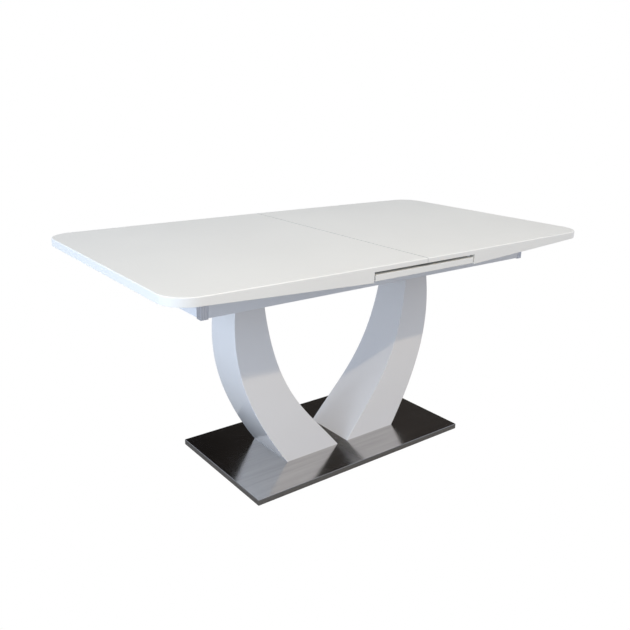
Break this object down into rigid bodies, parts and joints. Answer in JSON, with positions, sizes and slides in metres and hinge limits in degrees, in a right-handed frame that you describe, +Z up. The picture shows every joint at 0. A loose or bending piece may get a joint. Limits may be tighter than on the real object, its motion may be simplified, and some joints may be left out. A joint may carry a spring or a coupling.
{
  "type": "extendable dining table",
  "caption": "Extendable dining table: a bowed white top in two sliding halves over a stored leaf, on two curved legs that meet over a flat metal base plate.",
  "frame": {"origin": "on the floor, below the middle of the closed table", "axes": "+X along the table's length, +Y across it towards the rear, +Z up"},
  "size_m": [1.6, 0.9, 0.76],
  "materials": {
    "top_lacquer": "satin white lacquer on fibreboard, softly rounded edges",
    "leg_lacquer": "high-gloss white lacquer on fibreboard",
    "frame_lacquer": "satin white lacquer on fibreboard",
    "post_aluminium": "anodised, grooved along its length",
    "runner_aluminium": "extruded, with fine draw lines",
    "zinc_steel": "bright zinc plate",
    "brushed_stainless": "brushed stainless steel sheet with folded edges",
    "core_board": "raw fibreboard",
    "beech": "planed beech",
    "rubber": "matt black rubber",
    "brass": "turned brass"
  },
  "bodies": {
    "frame": {"base_core": "core_board", "base_cover": "brushed_stainless", "front_rail": "frame_lacquer", "glide_left_front": "rubber", "glide_left_rear": "rubber", "glide_right_front": "rubber", "glide_right_rear": "rubber", "leaf_pad_left_front": "rubber", "leaf_pad_left_rear": "rubber", "leaf_pad_right_front": "rubber", "leaf_pad_right_rear": "rubber", "left_apron": "frame_lacquer", "left_beam": "beech", "left_foot_bolt_front": "zinc_steel", "left_foot_bolt_rear": "zinc_steel", "left_head_bolt_front": "zinc_steel", "left_head_bolt_rear": "zinc_steel", "left_head_plate": "zinc_steel", "left_leg": "leg_lacquer", "post_left_front": "post_aluminium", "post_left_rear": "post_aluminium", "post_right_front": "post_aluminium", "post_right_rear": "post_aluminium", "rear_rail": "frame_lacquer", "right_apron": "frame_lacquer", "right_beam": "beech", "right_foot_bolt_front": "zinc_steel", "right_foot_bolt_rear": "zinc_steel", "right_head_bolt_front": "zinc_steel", "right_head_bolt_rear": "zinc_steel", "right_head_plate": "zinc_steel", "right_leg": "leg_lacquer", "runner_base_left_front": "zinc_steel", "runner_base_left_rear": "zinc_steel", "runner_base_right_front": "zinc_steel", "runner_base_right_rear": "zinc_steel"},
    "left_top": {"left_board": "top_lacquer", "left_strip_front": "top_lacquer", "left_strip_rear": "top_lacquer", "left_strip_end": "top_lacquer", "runner_top_left_front": "zinc_steel", "runner_top_left_rear": "zinc_steel", "seam_pin_1": "brass", "seam_pin_2": "brass", "seam_pin_3": "brass"},
    "right_top": {"right_board": "top_lacquer", "right_strip_front": "top_lacquer", "right_strip_rear": "top_lacquer", "right_strip_end": "top_lacquer", "runner_top_right_front": "zinc_steel", "runner_top_right_rear": "zinc_steel"},
    "left_runner_middle": {"runner_middle_left_front": "runner_aluminium", "runner_middle_left_rear": "runner_aluminium"},
    "right_runner_middle": {"runner_middle_right_front": "runner_aluminium", "runner_middle_right_rear": "runner_aluminium"},
    "leaf": {"leaf": "top_lacquer", "leaf_pin_1": "brass", "leaf_pin_2": "brass", "leaf_pin_3": "brass"}
  },
  "joints": [
    {"name": "left_top_slide", "type": "slide", "parent": "frame", "child": "left_top", "axis": [-1, 0, 0], "range_m": [0, 0.2]},
    {"name": "right_top_slide", "type": "slide", "parent": "frame", "child": "right_top", "axis": [1, 0, 0], "range_m": [0, 0.2]},
    {"name": "left_middle_slide", "type": "slide", "parent": "frame", "child": "left_runner_middle", "axis": [-1, 0, 0], "range_m": [0, 0.1]},
    {"name": "right_middle_slide", "type": "slide", "parent": "frame", "child": "right_runner_middle", "axis": [1, 0, 0], "range_m": [0, 0.1]},
    {"name": "leaf_lift", "type": "slide", "parent": "frame", "child": "leaf", "axis": [0, 0, 1], "range_m": [0, 0.007]}
  ],
  "couplings": [
    {"joint": "left_middle_slide", "follows": "left_top_slide", "ratio": 0.5},
    {"joint": "right_middle_slide", "follows": "right_top_slide", "ratio": 0.5}
  ]
}
